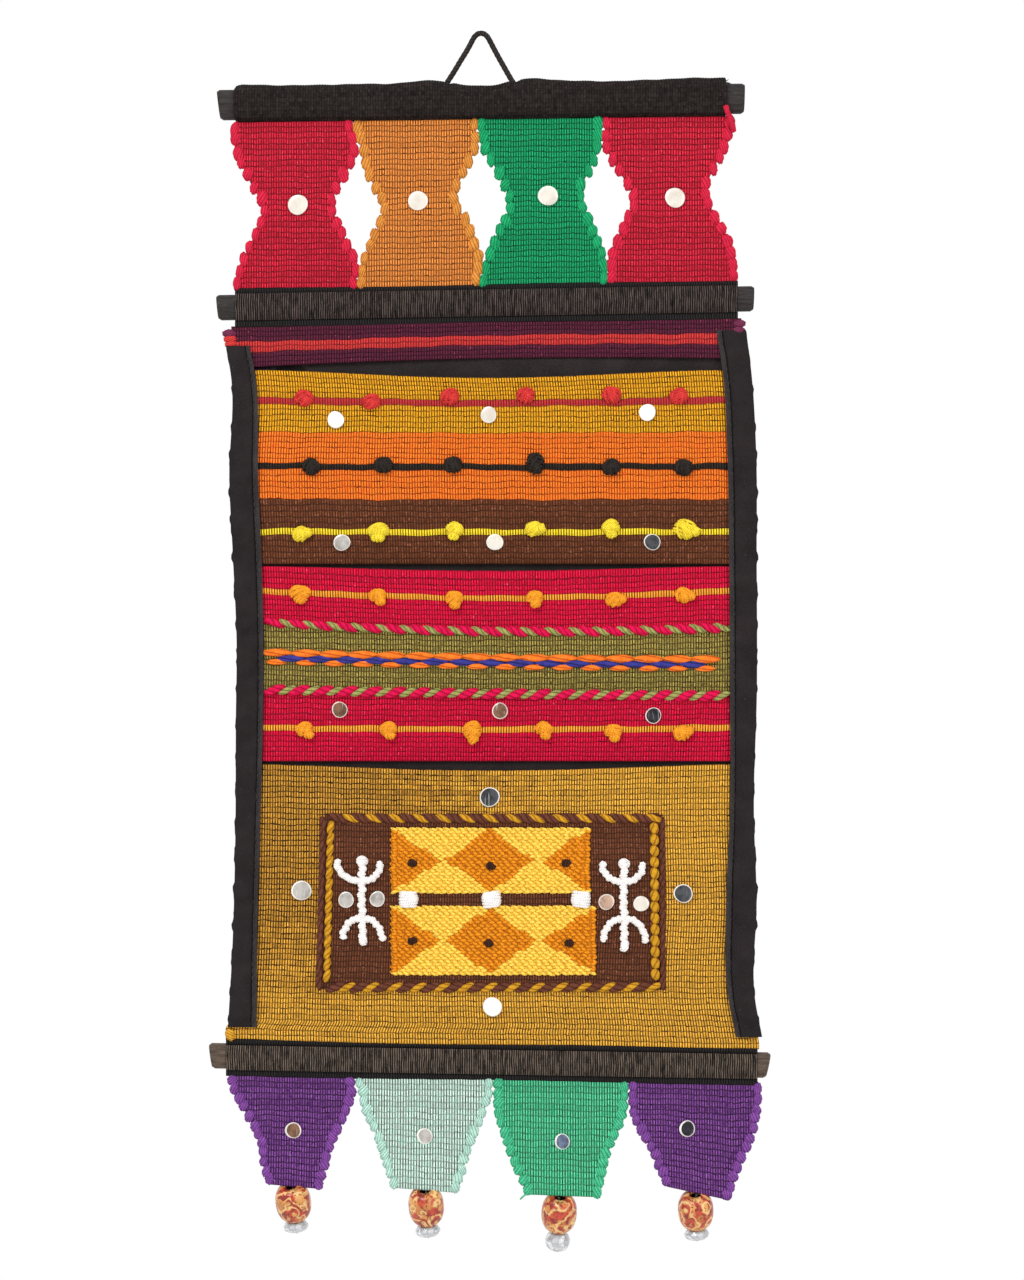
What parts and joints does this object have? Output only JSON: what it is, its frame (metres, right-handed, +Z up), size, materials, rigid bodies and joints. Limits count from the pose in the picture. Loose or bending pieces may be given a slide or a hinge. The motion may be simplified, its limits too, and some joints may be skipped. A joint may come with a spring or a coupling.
{
  "type": "pocketed cotton wall tapestry with wooden rods",
  "caption": "Handwoven wall hanging on three wooden rods, with hourglass tabs, three letter pockets, small mirrors, side bindings and tapered tabs that end in beads.",
  "frame": {"origin": "where the nail sits, inside the bend of the hanging loop", "axes": "+Z up, +X to the right as seen from the front, +Y towards the wall"},
  "size_m": [0.3552, 0.0248, 0.7721],
  "materials": {
    "black_cord": "soft",
    "rod_wood": "stained, dull",
    "black_weave": "handwoven",
    "warp_yarn": "close-set yarn",
    "red_weave": "handwoven",
    "ochre_weave": "handwoven",
    "green_weave": "handwoven",
    "plum_weave": "handwoven",
    "black_tape": "smooth cotton",
    "mustard_weave": "handwoven",
    "crimson_weave": "handwoven",
    "amber_weave": "handwoven",
    "purple_weave": "handwoven",
    "mint_weave": "handwoven",
    "sea_weave": "handwoven",
    "painted_wood": "lacquered",
    "clear_glass": "faceted",
    "mirror_disc": "polished"
  },
  "bodies": {
    "root": {"hanging_loop": "black_cord", "rod_top": "rod_wood", "rod_middle": "rod_wood", "rod_bottom": "rod_wood", "sleeve_top": "black_weave", "warp_wrap_middle": "warp_yarn", "warp_wrap_bottom": "warp_yarn", "tab_upper_red_left": "red_weave", "tab_upper_ochre": "ochre_weave", "tab_upper_green": "green_weave", "tab_upper_red_right": "red_weave", "stripe_band": "plum_weave", "lining": "black_tape", "pocket_upper": "mustard_weave", "pocket_middle": "crimson_weave", "pocket_lower": "amber_weave", "binding_left": "black_tape", "binding_right": "black_tape", "tab_lower_purple_left": "purple_weave", "tab_lower_mint": "mint_weave", "tab_lower_green": "sea_weave", "tab_lower_purple_right": "purple_weave", "wood_bead_1": "painted_wood", "glass_bead_1": "clear_glass", "bead_thread_1": "black_cord", "wood_bead_2": "painted_wood", "glass_bead_2": "clear_glass", "bead_thread_2": "black_cord", "wood_bead_3": "painted_wood", "glass_bead_3": "clear_glass", "bead_thread_3": "black_cord", "wood_bead_4": "painted_wood", "glass_bead_4": "clear_glass", "bead_thread_4": "black_cord", "mirror_01": "mirror_disc", "mirror_02": "mirror_disc", "mirror_03": "mirror_disc", "mirror_04": "mirror_disc", "mirror_05": "mirror_disc", "mirror_06": "mirror_disc", "mirror_07": "mirror_disc", "mirror_08": "mirror_disc", "mirror_09": "mirror_disc", "mirror_10": "mirror_disc", "mirror_11": "mirror_disc", "mirror_12": "mirror_disc", "mirror_13": "mirror_disc", "mirror_14": "mirror_disc", "mirror_15": "mirror_disc", "mirror_16": "mirror_disc", "mirror_17": "mirror_disc", "mirror_18": "mirror_disc", "mirror_19": "mirror_disc", "mirror_20": "mirror_disc", "mirror_21": "mirror_disc", "mirror_22": "mirror_disc", "mirror_23": "mirror_disc", "mirror_24": "mirror_disc", "mirror_25": "mirror_disc"}
  },
  "joints": []
}
